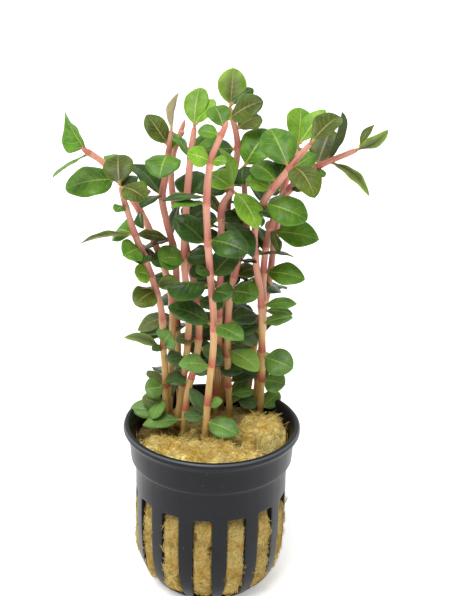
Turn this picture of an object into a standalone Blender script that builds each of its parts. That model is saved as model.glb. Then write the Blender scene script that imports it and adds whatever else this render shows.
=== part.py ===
"""Blood red rotala: a bunch of stem plants in rockwool, standing in a slotted net pot.

Metres, +Z up. The origin is the centre of the pot's flat base, and -Y is the front.
Sizes below are in millimetres and are turned into metres as the meshes are made.
"""
import math

import bmesh
import bpy
from mathutils import Matrix, Vector

MM = 0.001

# Pot
SLOT_COUNT = 14
SLOT_PITCH = math.tau / SLOT_COUNT
SLOT_FIRST = math.radians(-95.4)
SLOT_WIDTH = 5.3
SLOT_TOP = 30.2
SLOT_BOTTOM = 1.2
SLOT_INNER_RADIUS = 14.0
SLOT_OUTER_RADIUS = 27.0
SLOT_CORNER = 1.4
POT_STEPS = 42
BASE_RADIUS = 13.8
BASE_THICKNESS = 1.3
# Outer side from the lip down to the base, as (radius, height)
POT_OUTER = [(24.3, 50.0), (25.0, 49.3), (25.0, 48.1), (23.4, 47.4), (22.8, 39.6), (21.6, 39.0), (21.5, 22.0),
             (21.2, 13.0), (20.4, 8.5), (19.3, 5.4), (17.4, 2.8), (15.4, 1.0), (BASE_RADIUS, 0.0)]
# Inner side from the floor up to the lip
POT_INNER = [(13.0, BASE_THICKNESS), (14.7, 2.2), (16.6, 4.0), (18.2, 6.6), (19.0, 9.4), (19.8, 13.5),
             (20.1, 22.0), (20.0, 30.0), (19.9, 33.0), (20.2, 38.4), (21.4, 40.0), (22.0, 47.0), (23.3, 50.0)]

# Rockwool plug, pressed out between the bars
WOOL_GAP = 0.35
WOOL_SPLIT_GAP = 0.4
WOOL_SPLIT_ANGLE = math.radians(-28.0)
WOOL_SPLIT_POINT = (5.0, -3.0)
WOOL_EDGE_TOP = 44.0
WOOL_TOP = 45.4
BULGE = 1.9
BULGE_LOW = 5.0
BULGE_HIGH = 27.6
BULGE_HALF_ANGLE = math.radians(4.6)
INSIDE_HALF_ANGLE = math.radians(7.4)
WOOL_RINGS = [1.7, 3.5, BULGE_LOW, 13.0, 20.0, BULGE_HIGH, 29.6, 33.0, 38.4, WOOL_EDGE_TOP]
WOOL_TOP_RINGS = [0.82, 0.6, 0.32]
# Lumps on top of the wool: place, height and spread
WOOL_LUMPS = [(14.5, 1.0, 2.8, 8.5), (-9.0, -13.0, 2.4, 8.0), (4.0, -16.0, 2.4, 6.5)]

# Stems, as points from foot to tip in (x, y, z)
STEM_RADIUS = 0.95
STEM_SAMPLES = 14
STEMS = {
    "01": [(-13.5, 7, 47), (-13.5, 6, 61.5), (-14, 4, 70.5), (-14.5, 1, 83.5), (-18, -4, 98.5), (-21, -8, 108.5),
           (-24.5, -14, 123.5)],
    "02": [(-12.5, 12.5, 46.5), (-12, 11, 63), (-12, 9, 84), (-16.5, 8, 100), (-20.5, 6, 110), (-28.5, 3, 123),
           (-35.5, 1, 129)],
    "03": [(-9.5, 16, 46.5), (-10.5, 14, 75), (-11, 9.5, 95), (-13.5, 5.5, 108), (-14.5, 4.5, 114.5),
           (-13.5, 2.5, 122), (-12, 1, 134.5)],
    "04": [(-8, 3, 47), (-7, 4, 57), (-4.5, 5.5, 69), (-4.5, 7, 81), (-8, 11, 98), (-11, 13, 107), (-12.5, 15.5, 120),
           (-9, 18, 132.5)],
    "05": [(-10, 7.5, 47), (-8, 6.5, 63), (-7, 5, 80), (-8.5, 3.5, 97), (-8, 1.5, 112.5), (-7, 0, 127.5),
           (-6, -1, 136)],
    "06": [(-2, -3.5, 47), (-1, -4, 63), (0, -6, 81), (-2, -9, 107), (-2.5, -10, 119.5), (-1.5, -10, 130),
           (2.5, -9, 140)],
    "07": [(2.5, 18, 47), (3, 18, 70.5), (3, 18, 100), (3.5, 18, 111), (5.5, 17, 125), (3, 16, 137)],
    "08": [(1, 14, 47), (1.5, 12, 70), (1.5, 7, 103.5), (1.5, 5.5, 112), (4.5, 4, 117.5)],
    "09": [(5, 12.5, 47), (4, 11, 68), (4.5, 10, 85), (8, 11, 102), (8, 12, 109), (7, 14, 121)],
    "10": [(14, 14, 47), (14, 11.5, 65.5), (13, 9, 82.5), (11, 6.5, 97), (10.5, 4.5, 106), (12.5, 1.5, 115),
           (18.5, -3, 125.5), (24, -6, 134)],
    "11": [(12.5, 17, 47), (14, 15, 72), (13.5, 12.5, 91), (15, 10, 105), (19.5, 6.5, 117), (25.5, 4.5, 123.5),
           (37, 2, 130)],
    "12": [(10, 17.5, 47), (12, 18.5, 66), (15, 19, 81), (17, 21, 101), (19.5, 22.5, 115), (22.5, 24, 124)],
}

# Leaves. Each row: name, stem, height of the node, azimuth and pitch of the midrib in degrees (0 is +X and
# 90 is the back), length from the stem's axis, width, turn about the midrib in degrees, rise of the midrib
# above its chord, lift of each half-blade in degrees, tint.
LEAVES = [
    ("leaf_02a", "02", 127.9, 134, 42, 13.5, 11.0, -85, 0.5, 40, "mid"),
    ("leaf_02b", "02", 127.5, -135, -15, 13.5, 6.0, 25, 0.3, 10, "mid"),
    ("leaf_02c", "02", 120.0, -168, -7, 14.2, 10.0, -35, 1.2, 10, "mid"),
    ("leaf_01a", "01", 123.0, 95, 40, 10.0, 8.2, -15, 1.0, 10, "olive"),
    ("leaf_01b", "01", 108.5, -170, -4, 14.0, 5.0, 5, 0.5, 30, "olive"),
    ("leaf_01c", "01", 89.3, -130, -8, 8.5, 7.5, -30, 1.0, 10, "olive"),
    ("leaf_03c", "03", 75.8, -172, -18, 12.0, 6.0, -30, 1.0, 10, "olive"),
    ("leaf_01e", "01", 70.5, 180, 19, 11.5, 5.0, -15, 1.0, 20, "purple"),
    ("leaf_03a", "03", 114.5, 140, 35, 13.0, 8.5, 0, 0.8, 20, "dark"),
    ("leaf_03b", "03", 128.0, -100, -20, 10.0, 9.5, 0, 1.5, 10, "mid"),
    ("leaf_06i", "06", 94.0, -172, 2, 11.8, 9.5, -16, 1.0, -39, "dark"),
    ("leaf_04a", "04", 48.5, -170, -5, 12.0, 5.5, -25, 0.8, 15, "mid"),
    ("leaf_05c", "05", 127.2, 25, 35, 10.0, 7.0, 10, 1.0, 10, "mid"),
    ("leaf_06j", "06", 129.0, -148, 26, 7.5, 5.5, -70, 1.0, 8, "light"),
    ("leaf_05e", "05", 135.5, 86, 55, 11.4, 6.8, -15, 0.5, 10, "light"),
    ("leaf_06a", "06", 82.0, 180, 25, 13.5, 8.0, -30, 1.2, 12, "dark"),
    ("leaf_06b", "06", 81.5, -45, -3, 10.5, 6.5, 20, 1.0, 12, "mid"),
    ("leaf_06c", "06", 52.0, -30, -8, 10.0, 7.0, 30, 0.8, 15, "mid"),
    ("leaf_06d", "06", 69.0, -150, 20, 10.5, 6.0, -40, 1.0, 10, "mid"),
    ("leaf_06e", "06", 108.0, -30, -2, 12.0, 8.0, 40, 1.5, 10, "dark"),
    ("leaf_06f", "06", 106.0, 165, 35, 11.5, 7.5, -40, 1.2, 5, "dark"),
    ("leaf_06g", "06", 137.5, 110, 35, 8.0, 6.5, -15, 1.0, 15, "mid"),
    ("leaf_06h", "06", 139.8, -25, 35, 11.0, 8.0, 50, 0.8, 10, "olive"),
    ("leaf_07a", "07", 136.5, 80, 60, 11.5, 8.0, 5, 0.5, 10, "purple"),
    ("leaf_08c", "08", 108.0, -42, -30, 14.0, 7.5, 5, 2.0, 15, "dark"),
    ("leaf_08a", "08", 117.0, 140, 66, 12.0, 5.0, 0, 2.0, 25, "light"),
    ("leaf_08b", "08", 117.3, -50, -35, 13.0, 8.0, 10, 1.5, 12, "light"),
    ("leaf_09a", "09", 85.0, -45, 10, 10.0, 8.0, 40, 1.0, 10, "mid"),
    ("leaf_09b", "09", 67.0, -40, -10, 11.7, 7.5, 20, 1.2, 12, "light"),
    ("leaf_09c", "09", 120.5, 35, 50, 13.0, 10.0, 30, 1.0, 10, "mid"),
    ("leaf_09d", "09", 76.5, 30, 5, 9.5, 7.0, 25, 1.0, 8, "dark"),
    ("leaf_10a", "10", 65.5, -35, -5, 10.0, 8.5, 45, 1.0, 10, "mid"),
    ("leaf_10b", "10", 125.5, 115, 35, 14.0, 10.0, -20, 1.0, 8, "mid"),
    ("leaf_10c", "10", 121.5, 140, 25, 8.8, 8.0, -20, 1.0, 8, "mid"),
    ("leaf_10d", "10", 126.5, -62, -17, 13.2, 8.6, 10, 2.0, 10, "olive"),
    ("leaf_10e", "10", 115.0, -25, -12, 12.8, 9.0, 40, 1.2, 8, "mid"),
    ("leaf_10f", "10", 133.5, 40, 28, 12.2, 8.0, 20, 1.0, 30, "olive"),
    ("leaf_10g", "10", 75.5, -20, 22, 9.5, 4.6, 40, 0.8, 15, "mid"),
    ("leaf_11a", "11", 103.8, -20, 0, 14.0, 8.0, 45, 1.0, 10, "mid"),
    ("leaf_11b", "11", 90.4, -25, 5, 12.5, 7.0, 45, 1.0, 10, "mid"),
    ("leaf_11c", "11", 125.5, 20, 72, 14.0, 5.6, -170, 0.5, 50, "dark"),
    ("leaf_11d", "11", 126.0, -30, -32, 14.0, 5.2, 5, 1.5, 20, "purple"),
    ("leaf_11e", "11", 129.5, -35, 36, 11.5, 4.8, 140, 0.5, 15, "purple"),
    ("leaf_11f", "11", 129.8, 45, 48, 7.8, 3.2, -5, 0.5, 20, "olive"),
    ("leaf_12a", "12", 123.5, 85, 55, 12.0, 8.5, 20, 0.5, 10, "light"),
]
LEAF_THICKNESS = 0.5
LEAF_ROOT_GAP = 0.35
LEAF_LENGTH_CELLS = 5
LEAF_WIDTH_CELLS = 2
PETIOLE_SHARE = 0.1
PETIOLE_HALF_WIDTH = 0.5
TIP_SHARE = 0.3
# How far along the blade is widest: a larger power is nearer the tip
BLADE_PEAK = 0.95
BLADE_PEAKS = {"leaf_02a": 0.4, "leaf_11a": 1.2, "leaf_11c": 1.3}

COLOURS = {
    "pot": (0.035, 0.04, 0.045),
    "wool": (0.42, 0.28, 0.11),
    "stem": (0.62, 0.24, 0.19),
    "light": (0.16, 0.36, 0.06),
    "mid": (0.06, 0.19, 0.04),
    "dark": (0.02, 0.075, 0.02),
    "olive": (0.10, 0.14, 0.035),
    "purple": (0.12, 0.06, 0.07),
}
ROUGHNESS = {"pot": 0.45, "wool": 0.95, "stem": 0.5, "light": 0.4, "mid": 0.38, "dark": 0.35, "olive": 0.42,
             "purple": 0.45}


def clear_scene():
    for obj in list(bpy.data.objects):
        bpy.data.objects.remove(obj, do_unlink=True)


def new_collection(name):
    group = bpy.data.collections.new(name)
    bpy.context.scene.collection.children.link(group)
    return group


def make_material(name):
    material = bpy.data.materials.new(name)
    material.use_nodes = True
    shader = material.node_tree.nodes["Principled BSDF"]
    shader.inputs["Base Color"].default_value = (*COLOURS[name], 1.0)
    shader.inputs["Roughness"].default_value = ROUGHNESS[name]
    shader.inputs["Metallic"].default_value = 0.0
    return material


def object_from_bmesh(name, bm, group, material=None, smooth=True):
    mesh = bpy.data.meshes.new(name)
    bm.to_mesh(mesh)
    bm.free()
    if smooth:
        mesh.shade_smooth()
    if material:
        mesh.materials.append(material)
    obj = bpy.data.objects.new(name, mesh)
    group.objects.link(obj)
    return obj


def slot_angle(index):
    return SLOT_FIRST + index * SLOT_PITCH


def make_slot_cutter(group):
    """Fourteen upright blocks with rounded top corners, one for each slot."""
    bm = bmesh.new()
    depth = SLOT_OUTER_RADIUS - SLOT_INNER_RADIUS
    height = SLOT_TOP - SLOT_BOTTOM
    middle = Vector(((SLOT_OUTER_RADIUS + SLOT_INNER_RADIUS) / 2, 0.0, (SLOT_TOP + SLOT_BOTTOM) / 2)) * MM
    for index in range(SLOT_COUNT):
        turn = Matrix.Rotation(slot_angle(index), 4, "Z")
        size = Matrix.Diagonal((depth * MM, SLOT_WIDTH * MM, height * MM, 1.0))
        block = bmesh.ops.create_cube(bm, size=1.0, matrix=Matrix.Translation(middle) @ size)
        top = SLOT_TOP * MM - 1e-6
        edges = {edge for vert in block["verts"] for edge in vert.link_edges}
        crowns = [edge for edge in edges
                  if all(vert.co.z > top for vert in edge.verts)
                  and abs(edge.verts[0].co.y - edge.verts[1].co.y) < 1e-6]
        rounded = bmesh.ops.bevel(bm, geom=crowns, offset=SLOT_CORNER * MM, segments=3, profile=0.5,
                                  affect="EDGES")
        verts = {vert for face in rounded["faces"] for vert in face.verts}
        verts |= {vert for vert in block["verts"] if vert.is_valid}
        bmesh.ops.transform(bm, matrix=turn, verts=list(verts))
    cutter = object_from_bmesh("slot_cutter", bm, group, smooth=False)
    cutter.hide_render = True
    cutter.display_type = "WIRE"
    return cutter


def make_pot(group, cutters, material):
    """One turned wall from lip to base, with the slots cut through it."""
    profile = POT_OUTER + [(0.0, 0.0), (0.0, BASE_THICKNESS)] + POT_INNER + [POT_OUTER[0]]
    bm = bmesh.new()
    verts = [bm.verts.new((radius * MM, 0.0, height * MM)) for radius, height in profile]
    for first, second in zip(verts[:-1], verts[1:]):
        bm.edges.new((first, second))
    pot = object_from_bmesh("pot", bm, group, material, smooth=False)
    screw = pot.modifiers.new("turn", "SCREW")
    screw.axis = "Z"
    screw.steps = POT_STEPS
    screw.render_steps = POT_STEPS
    screw.use_merge_vertices = True
    screw.merge_threshold = 0.00002
    screw.use_smooth_shade = False
    cut = pot.modifiers.new("slots", "BOOLEAN")
    cut.operation = "DIFFERENCE"
    cut.solver = "EXACT"
    cut.object = make_slot_cutter(cutters)
    return pot


def inner_radius(height):
    """The pot's inside radius at a height."""
    rows = POT_INNER
    for (low_radius, low), (high_radius, high) in zip(rows[:-1], rows[1:]):
        if height <= high:
            share = max(0.0, (height - low) / (high - low))
            return low_radius + (high_radius - low_radius) * share
    return rows[-1][0]


def wool_height(x, y):
    """The height of the wool's top, with its lumps."""
    height = WOOL_TOP
    for lump_x, lump_y, rise, spread in WOOL_LUMPS:
        far = ((x - lump_x) ** 2 + (y - lump_y) ** 2) / spread ** 2
        height += rise * math.exp(-far)
    return height


def wool_ring(bm, height):
    ring = []
    inside = inner_radius(height) - WOOL_GAP
    outside = inside + BULGE if BULGE_LOW <= height <= BULGE_HIGH else inside
    for index in range(SLOT_COUNT):
        corners = [(-INSIDE_HALF_ANGLE, inside), (-BULGE_HALF_ANGLE, outside),
                   (BULGE_HALF_ANGLE, outside), (INSIDE_HALF_ANGLE, inside)]
        for offset, radius in corners:
            angle = slot_angle(index) + offset
            place = (radius * math.cos(angle) * MM, radius * math.sin(angle) * MM, height * MM)
            ring.append(bm.verts.new(place))
    return ring


def bridge(bm, low, high):
    for index in range(len(low)):
        after = (index + 1) % len(low)
        bm.faces.new((low[index], low[after], high[after], high[index]))


def wool_plug():
    """The whole plug as a loft of rings, closed by its lumpy top."""
    bm = bmesh.new()
    rings = [wool_ring(bm, height) for height in WOOL_RINGS]
    edge = rings[-1]
    for share in WOOL_TOP_RINGS:
        ring = []
        for vert in edge:
            x, y = vert.co.x * share, vert.co.y * share
            ring.append(bm.verts.new((x, y, wool_height(x / MM, y / MM) * MM)))
        rings.append(ring)
    for low, high in zip(rings[:-1], rings[1:]):
        bridge(bm, low, high)
    bm.faces.new(list(reversed(rings[0])))
    bm.faces.new(rings[-1])
    bmesh.ops.triangulate(bm, faces=[face for face in bm.faces if len(face.verts) > 4])
    return bm


def make_wool(name, side, group, material):
    """One pad: the part of the plug on one side of the upright split."""
    bm = wool_plug()
    normal = Vector((-math.sin(WOOL_SPLIT_ANGLE), math.cos(WOOL_SPLIT_ANGLE), 0.0)) * side
    point = Vector((*WOOL_SPLIT_POINT, 0.0)) * MM + normal * WOOL_SPLIT_GAP / 2 * MM
    everything = bm.verts[:] + bm.edges[:] + bm.faces[:]
    cut = bmesh.ops.bisect_plane(bm, geom=everything, plane_co=point, plane_no=normal, clear_inner=True)
    seam = [item for item in cut["geom_cut"] if isinstance(item, bmesh.types.BMEdge)]
    bmesh.ops.contextual_create(bm, geom=seam)
    bmesh.ops.recalc_face_normals(bm, faces=bm.faces[:])
    return object_from_bmesh(name, bm, group, material)


def smooth_route(points, samples):
    """A smooth curve through the points, as evenly spaced positions along its parameter."""
    path = [Vector(point) for point in points]
    padded = [path[0] * 2 - path[1]] + path + [path[-1] * 2 - path[-2]]
    route = []
    for index in range(samples):
        at = index / (samples - 1) * (len(path) - 1)
        part = min(int(at), len(path) - 2)
        t = at - part
        a, b, c, d = padded[part:part + 4]
        place = b * 2 + (c - a) * t + (a * 2 - b * 5 + c * 4 - d) * t ** 2 + (b * 3 - a - c * 3 + d) * t ** 3
        route.append(place / 2)
    return route


def make_stem(number, group, material):
    """A round stem with closed ends."""
    curve = bpy.data.curves.new("stem_" + number, "CURVE")
    curve.dimensions = "3D"
    curve.bevel_depth = STEM_RADIUS * MM
    curve.bevel_resolution = 1
    curve.use_fill_caps = True
    route = smooth_route(STEMS[number], STEM_SAMPLES)
    spline = curve.splines.new("POLY")
    spline.points.add(len(route) - 1)
    for point, place in zip(spline.points, route):
        point.co = (*(place * MM), 1.0)
    curve.materials.append(material)
    stem = bpy.data.objects.new("stem_" + number, curve)
    group.objects.link(stem)
    return stem


def stem_point(number, height):
    """Where the stem's axis is at a height."""
    route = smooth_route(STEMS[number], 80)
    return min(route, key=lambda place: abs(place.z - height))


def leaf_frame(azimuth, pitch, turn):
    """The midrib's direction, the sideways direction and the upper side's normal."""
    az = math.radians(azimuth)
    up = math.radians(pitch)
    along = Vector((math.cos(az) * math.cos(up), math.sin(az) * math.cos(up), math.sin(up)))
    normal = (Vector((0.0, 0.0, 1.0)) - along * along.z).normalized()
    normal = Matrix.Rotation(math.radians(turn), 3, along) @ normal
    return along, normal.cross(along), normal


def half_width(share, width, peak):
    """Half the blade's width along the midrib: a narrow petiole, then a rounded blade."""
    if share <= PETIOLE_SHARE:
        return PETIOLE_HALF_WIDTH
    blade = (share - PETIOLE_SHARE) / (1.0 - PETIOLE_SHARE)
    swell = math.sin(math.pi * min(blade, 0.97) ** peak) ** 0.6
    return max(width / 2 * swell, width / 2 * TIP_SHARE if share > 0.5 else PETIOLE_HALF_WIDTH)


def make_leaf(row, group, material):
    """A thin arched blade, folded a little along its midrib."""
    name, stem, height, azimuth, pitch, length, width, turn, arch, fold, tint = row
    base = stem_point(stem, height)
    along, side, normal = leaf_frame(azimuth, pitch, turn)
    start = (STEM_RADIUS + LEAF_ROOT_GAP) / max(0.35, math.cos(math.radians(pitch)))
    lift = math.radians(fold)
    bm = bmesh.new()
    bmesh.ops.create_grid(bm, x_segments=LEAF_LENGTH_CELLS, y_segments=LEAF_WIDTH_CELLS, size=0.5)
    for vert in bm.verts:
        share = vert.co.x + 0.5
        across = vert.co.y * 2.0
        reach = half_width(share, width, BLADE_PEAKS.get(name, BLADE_PEAK)) * across
        rise = arch * 4.0 * share * (1.0 - share) + abs(reach) * math.sin(lift)
        place = base + along * (start + (length - start) * share)
        place += side * reach * math.cos(lift) + normal * rise
        vert.co = place * MM
    leaf = object_from_bmesh(name, bm, group, material)
    shell = leaf.modifiers.new("blade", "SOLIDIFY")
    shell.thickness = LEAF_THICKNESS * MM
    shell.offset = 0.0
    return leaf


def main():
    clear_scene()
    plant = new_collection("rotala_in_net_pot")
    cutters = new_collection("cutters")
    materials = {name: make_material(name) for name in COLOURS}
    make_pot(plant, cutters, materials["pot"])
    make_wool("wool_front", -1, plant, materials["wool"])
    make_wool("wool_back", 1, plant, materials["wool"])
    for number in STEMS:
        make_stem(number, plant, materials["stem"])
    for row in LEAVES:
        make_leaf(row, plant, materials[row[-1]])


main()
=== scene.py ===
"""The looks of a bunch of blood red rotala in a slotted net pot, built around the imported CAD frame.

Sizes are in millimetres in the frame's axes (+Z up, -Y the front) and become metres as meshes are made.
"""

import math
import random

import bmesh
import bpy
import numpy as np
from mathutils import Matrix, Vector, noise


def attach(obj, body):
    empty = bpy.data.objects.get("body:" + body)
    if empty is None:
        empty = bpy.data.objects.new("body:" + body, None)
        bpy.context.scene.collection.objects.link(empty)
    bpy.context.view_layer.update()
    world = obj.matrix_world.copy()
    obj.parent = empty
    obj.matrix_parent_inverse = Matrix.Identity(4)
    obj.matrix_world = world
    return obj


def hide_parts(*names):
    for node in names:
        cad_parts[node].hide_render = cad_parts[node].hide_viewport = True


MM = 0.001
# Without a seed, noise_vector in the fibres would follow the clock
SWIRL_SEED = 7

# Camera at the photograph's viewing angle, for an image 470 wide and 596 high
IMAGE_HEIGHT = 596
FOCAL_PIXELS = 1413
SENSOR = 36.0
CAMERA_PLACE = (0.0, -354.0, 236.2)
CAMERA_PITCH = -22.735
CAMERA_YAW = -0.9
CAMERA_ROLL = 1.5

# Floor, sun and white room. The room fades between two directions along Y: those, then the
# brightness at each.
WHITE = (1.0, 1.0, 1.0, 1.0)
FLOOR_RADIUS = 6.0
FLOOR_COLOUR = (0.95, 0.95, 0.95, 1.0)
FLOOR_GLOW = 0.3
SUN_STRENGTH = 2.6
SUN_SPREAD = 35.0
SUN_TURNS = (24.0, -16.0, 0.0)
ROOM_FADE = (-0.8, 0.1, 0.4, 0.95)

# Pot, as in the CAD
SLOT_COUNT = 14
SLOT_PITCH = math.tau / SLOT_COUNT
SLOT_FIRST = math.radians(-95.4)
SLOT_WIDTH = 5.3
# Mesh cells across a slot
SLOT_CELLS = 4
SLOT_TOP = 30.2
POT_OUTER = [
    (21.45, 31), (21.5, 22), (21.2, 13), (20.4, 8.5), (19.3, 5.4), (17.4, 2.8), (15.4, 1), (13.8, 0),
]
POT_INNER = [
    (13, 1.3), (14.7, 2.2), (16.6, 4), (18.2, 6.6), (19, 9.4), (19.8, 13.5), (20.1, 22), (20, 30),
    (19.9, 33), (20.2, 38.4), (21.4, 40), (22, 47), (23.3, 50),
]
# The wall from the lip down to the slots, as (outer radius, outer height, inner radius, inner height)
POT_COLLAR = [
    (24.1, 50, 23.5, 49.9), (24.7, 49.75, 22.95, 49.3), (24.95, 49.2, 22.55, 48.4),
    (24.98, 48.5, 22.3, 47.7), (24.75, 47.95, 22.1, 47), (24.2, 47.6, 22, 46.4),
    (23.65, 47.35, 21.95, 45.9), (23.4, 46.8, 21.9, 45.2), (23.2, 44.4, 21.7, 43.6),
    (23, 41.6, 21.5, 41.4), (22.88, 40.1, 21.4, 40.2), (22.8, 39.65, 21.25, 39.8),
    (22.45, 39.35, 20.9, 39.3), (21.8, 39.15, 20.45, 38.8), (21.6, 38.8, 20.2, 38.3),
    (21.48, 36.6, 20.05, 36.6), (21.45, 34.2, 19.95, 34.2), (21.45, 32.5, 19.95, 32.5),
    (21.45, 31.1, 19.98, 31.1),
]
SLOT_HEIGHTS = [SLOT_TOP, 29.0, 27.0, 24.0, 20.5, 17.0, 13.5, 10.5, 8.0, 6.0, 4.4, 3.1, 2.0, 1.3]
POT_FOOT = [
    (14.7, 0.5, 13.5, 1.5), (14, 0.08, 12.9, 1.32), (13.3, 0, 12.3, 1.3), (7.5, 0, 7.5, 1.3),
    (0.6, 0, 0.6, 1.3),
]
SLOT_INNER_RADIUS = 14.0
SLOT_ROUNDING = 1.3
EDGE_SOFTNESS = 0.42

# Rockwool, as in the CAD
WOOL_GAP = 0.35
WOOL_SPLIT_GAP = 0.4
WOOL_SPLIT_ANGLE = math.radians(-28.0)
# The direction across the split, towards the back
WOOL_SPLIT_BACK = (-math.sin(WOOL_SPLIT_ANGLE), math.cos(WOOL_SPLIT_ANGLE))
WOOL_SPLIT_POINT = (5.0, -3.0)
WOOL_EDGE_TOP = 44.0
WOOL_FOOT = 1.7
# The mesh of the plug: points round it, height between its rings, and rings over its top
WOOL_COLUMNS = 364
WOOL_STEP = 0.52
WOOL_TOP_RINGS = 42
# The two pads: node, side of the split, how many fibres, and the fibres' seed
WOOL_PADS = [("wool_front", -1, 8200, 11), ("wool_back", 1, 6600, 12)]
FIBRE_STEPS = 3
# The wool's top: a bed that the stems stand in, a bank along the front and a mound at the right
WOOL_BED = 44.4
BANK_HEIGHT = 3.6
BANK_EDGE = [
    (-22, -3.5), (-15, -5.5), (-8, -7.5), (3, -7), (8, -10.5), (14, -12.5), (22, -11),
]
MOUND_HEIGHT = 4.4
MOUND_PLACE = (15.0, 1.0)
MOUND_REACH = (8.2, 9.6)
# Each hollow: its place, depth and spread
WOOL_HOLLOWS = [
    (-10.3, 4.6, 4.5, 2.6), (11, -7.5, 4.2, 2.2), (15.5, -10.3, 4.4, 2), (-2, -1, 1.6, 2.2),
    (20, 14.5, 4, 4), (-20.5, 4, 4.5, 3.6), (4.5, -4, 2.6, 1.8), (19.5, -8.5, 3, 1.6),
]

# Stems, as in the CAD: points from foot to tip
STEM_RADIUS = 0.95
# The longest gap between nodes, and the shortest below and above a height
NODE_GAP_MOST = 17.0
NODE_GAP_LOW = 13.5
NODE_GAP_HIGH = 5.0
NODE_LOW_TOP = 88.0
# The heights between which a stem's look runs from low to high
STEM_LOOK_FOOT = 46.0
STEM_LOOK_SPAN = 94.0
STEMS = {
    1: [(-13.5, 7, 47), (-13.5, 6, 61.5), (-14, 4, 70.5), (-14.5, 1, 83.5), (-18, -4, 98.5),
        (-21, -8, 108.5), (-24.5, -14, 123.5)],
    2: [(-12.5, 12.5, 46.5), (-12, 11, 63), (-12, 9, 84), (-16.5, 8, 100), (-20.5, 6, 110),
        (-28.5, 3, 123), (-35.5, 1, 129)],
    3: [(-9.5, 16, 46.5), (-10.5, 14, 75), (-11, 9.5, 95), (-13.5, 5.5, 108), (-14.5, 4.5, 114.5),
        (-13.5, 2.5, 122), (-12, 1, 134.5)],
    4: [(-8, 3, 47), (-7, 4, 57), (-4.5, 5.5, 69), (-4.5, 7, 81), (-8, 11, 98), (-11, 13, 107),
        (-12.5, 15.5, 120), (-9, 18, 132.5)],
    5: [(-10, 7.5, 47), (-8, 6.5, 63), (-7, 5, 80), (-8.5, 3.5, 97), (-8, 1.5, 112.5), (-7, 0, 127.5),
        (-6, -1, 136)],
    6: [(-2, -3.5, 47), (-1, -4, 63), (0, -6, 81), (-2, -9, 107), (-2.5, -10, 119.5), (-1.5, -10, 130),
        (2.5, -9, 140)],
    7: [(2.5, 18, 47), (3, 18, 70.5), (3, 18, 100), (3.5, 18, 111), (5.5, 17, 125), (3, 16, 137)],
    8: [(1, 14, 47), (1.5, 12, 70), (1.5, 7, 103.5), (1.5, 5.5, 112), (4.5, 4, 117.5)],
    9: [(5, 12.5, 47), (4, 11, 68), (4.5, 10, 85), (8, 11, 102), (8, 12, 109), (7, 14, 121)],
    10: [(14, 14, 47), (14, 11.5, 65.5), (13, 9, 82.5), (11, 6.5, 97), (10.5, 4.5, 106),
         (12.5, 1.5, 115), (18.5, -3, 125.5), (24, -6, 134)],
    11: [(12.5, 17, 47), (14, 15, 72), (13.5, 12.5, 91), (15, 10, 105), (19.5, 6.5, 117),
         (25.5, 4.5, 123.5), (37, 2, 130)],
    12: [(10, 17.5, 47), (12, 18.5, 66), (15, 19, 81), (17, 21, 101), (19.5, 22.5, 115),
         (22.5, 24, 124)],
}
# Short side shoots: points from the parent stem outwards, and the radius
SHOOTS = [
    ([(-21, 7.5, 110.5), (-20, 8.5, 112.5), (-18, 9.5, 115)], 0.55),
    ([(-12.3, 15, 119), (-11.5, 13, 126), (-9.5, 12, 131)], 0.7),
    ([(-0.5, 14.5, 46), (0, 15, 60), (-0.5, 15.5, 74)], 0.8),
    ([(3.0, 20, 46), (4.5, 20.5, 58), (6.0, 21, 71)], 0.75),
    ([(10.5, 20, 46), (10.5, 20.5, 60), (12.5, 21, 74)], 0.8),
]

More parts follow.
